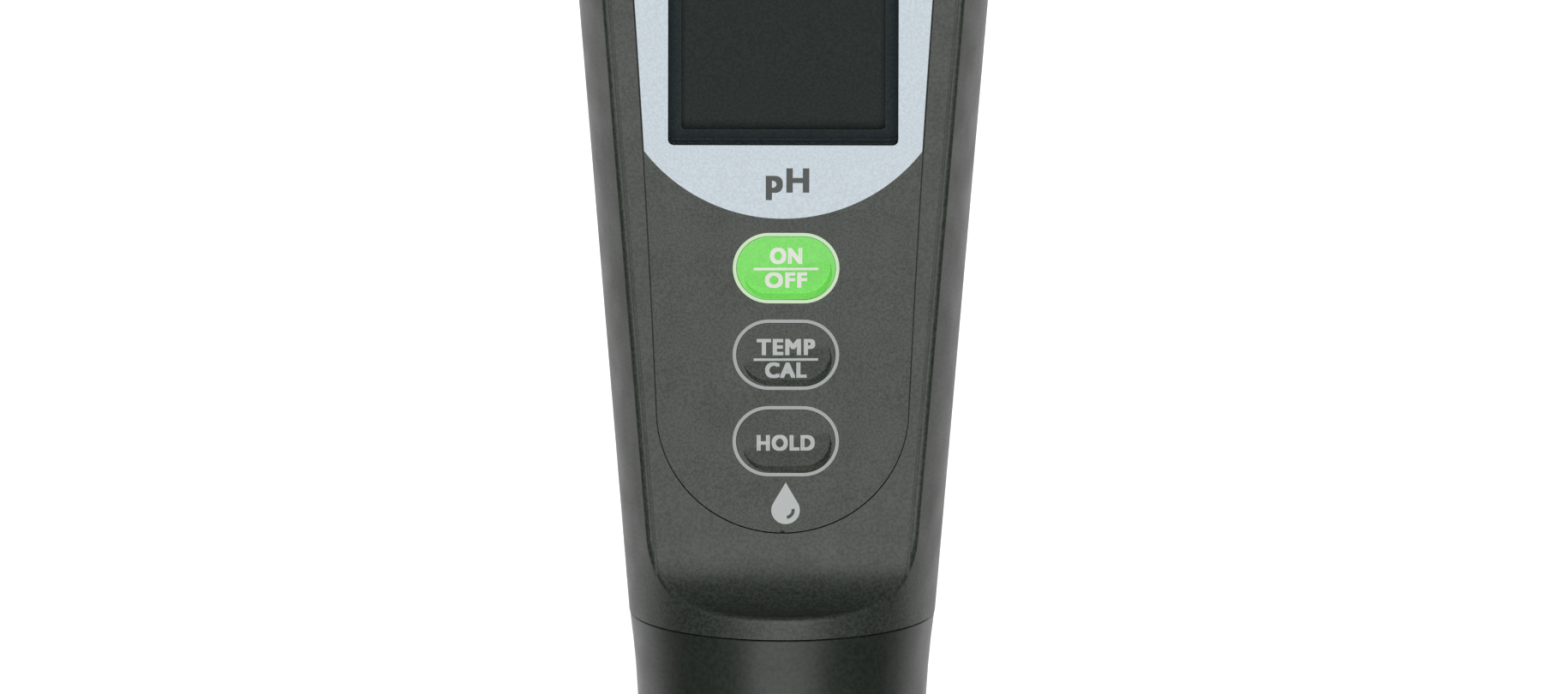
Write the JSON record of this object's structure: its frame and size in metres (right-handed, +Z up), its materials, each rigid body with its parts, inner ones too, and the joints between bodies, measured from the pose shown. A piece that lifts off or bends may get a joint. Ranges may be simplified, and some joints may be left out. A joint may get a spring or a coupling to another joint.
{
  "type": "pen ph meter",
  "caption": "Hand-held pen pH tester: tapered round housing with a flat scooped face, display window, oval keys, screw battery cap and sensor under a storage cap.",
  "frame": {"origin": "centre of the storage cap's flat base, which the meter stands on", "axes": "+Z up along the housing towards the battery cap; the display and keys face -Y; +X is the right-hand side of someone facing the display"},
  "size_m": [0.0338, 0.0335, 0.185],
  "materials": {
    "housing_plastic": "fine satin",
    "overlay_film": "satin film",
    "lens": "clear",
    "lcd": "display off",
    "white_plastic": "moulded",
    "soft_strip": "soft",
    "board": "solder mask",
    "steel": "plated",
    "black_plastic": "moulded",
    "ceramic_tan": "fired",
    "gold": "gold plated",
    "flex_film": "polyimide film",
    "seal_rubber": "oiled",
    "key_green": "satin silicone",
    "key_grey": "satin silicone",
    "sensor_plastic": "smooth",
    "electrode_glass": "clear",
    "silver": "drawn wire",
    "cap_plastic": "smooth satin",
    "sponge": "open cell"
  },
  "bodies": {
    "housing": {"housing": "housing_plastic", "overlay": "overlay_film", "display_lens": "lens", "lcd_glass": "lcd", "lcd_holder": "white_plastic", "contact_strip_lower": "soft_strip", "contact_strip_upper": "soft_strip", "keypad_seal": "soft_strip", "circuit_board": "board", "board_screws": "steel", "key_switches": "black_plastic", "processor": "black_plastic", "input_amplifier": "black_plastic", "crystal_can": "steel", "capacitors": "ceramic_tan", "supply_blades": "gold", "sensor_socket": "black_plastic", "socket_flex": "flex_film", "battery_cap_seal": "seal_rubber", "cap_seal": "seal_rubber"},
    "key_on_off": {"key_on_off": "key_green"},
    "key_temp_cal": {"key_temp_cal": "key_grey"},
    "key_hold": {"key_hold": "key_grey"},
    "battery_tray": {"battery_tray": "black_plastic", "button_cells": "steel", "cell_spring": "steel"},
    "battery_cap": {"battery_cap": "housing_plastic", "cap_contact": "gold"},
    "sensor": {"sensor_head": "black_plastic", "sensor_pins": "gold", "sensor_seal": "seal_rubber", "sensor_body": "sensor_plastic", "glass_electrode": "electrode_glass", "reference_wire": "silver", "reference_junction": "white_plastic", "temperature_probe": "steel"},
    "sensor_collar": {"sensor_collar": "sensor_plastic"},
    "storage_cap": {"storage_cap": "cap_plastic", "cap_sponge": "sponge"}
  },
  "joints": [
    {"name": "key_on_off_press", "type": "slide", "parent": "housing", "child": "key_on_off", "axis": [0, 0.9997, 0.0237], "range_m": [0, 0.0005], "stiffness_N_per_m": 800, "springref_m": -0.0015},
    {"name": "key_temp_cal_press", "type": "slide", "parent": "housing", "child": "key_temp_cal", "axis": [0, 0.9997, 0.0237], "range_m": [0, 0.0005], "stiffness_N_per_m": 800, "springref_m": -0.0015},
    {"name": "key_hold_press", "type": "slide", "parent": "housing", "child": "key_hold", "axis": [0, 0.9997, 0.0237], "range_m": [0, 0.0005], "stiffness_N_per_m": 800, "springref_m": -0.0015},
    {"name": "battery_tray_lift", "type": "slide", "parent": "housing", "child": "battery_tray", "axis": [0, 0, 1], "range_m": [0, 0.03]},
    {"name": "battery_cap_turn", "type": "hinge", "parent": "battery_tray", "child": "battery_cap", "pos_m": [0, 0, 0.172], "axis": [0, 0, 1], "continuous": true},
    {"name": "sensor_pull", "type": "slide", "parent": "housing", "child": "sensor", "axis": [0, 0, -1], "range_m": [0, 0.025]},
    {"name": "sensor_collar_turn", "type": "hinge", "parent": "sensor", "child": "sensor_collar", "pos_m": [0, 0, 0.07], "axis": [0, 0, 1], "continuous": true},
    {"name": "storage_cap_pull", "type": "slide", "parent": "sensor", "child": "storage_cap", "axis": [0, 0, -1], "range_m": [0, 0.08]}
  ]
}
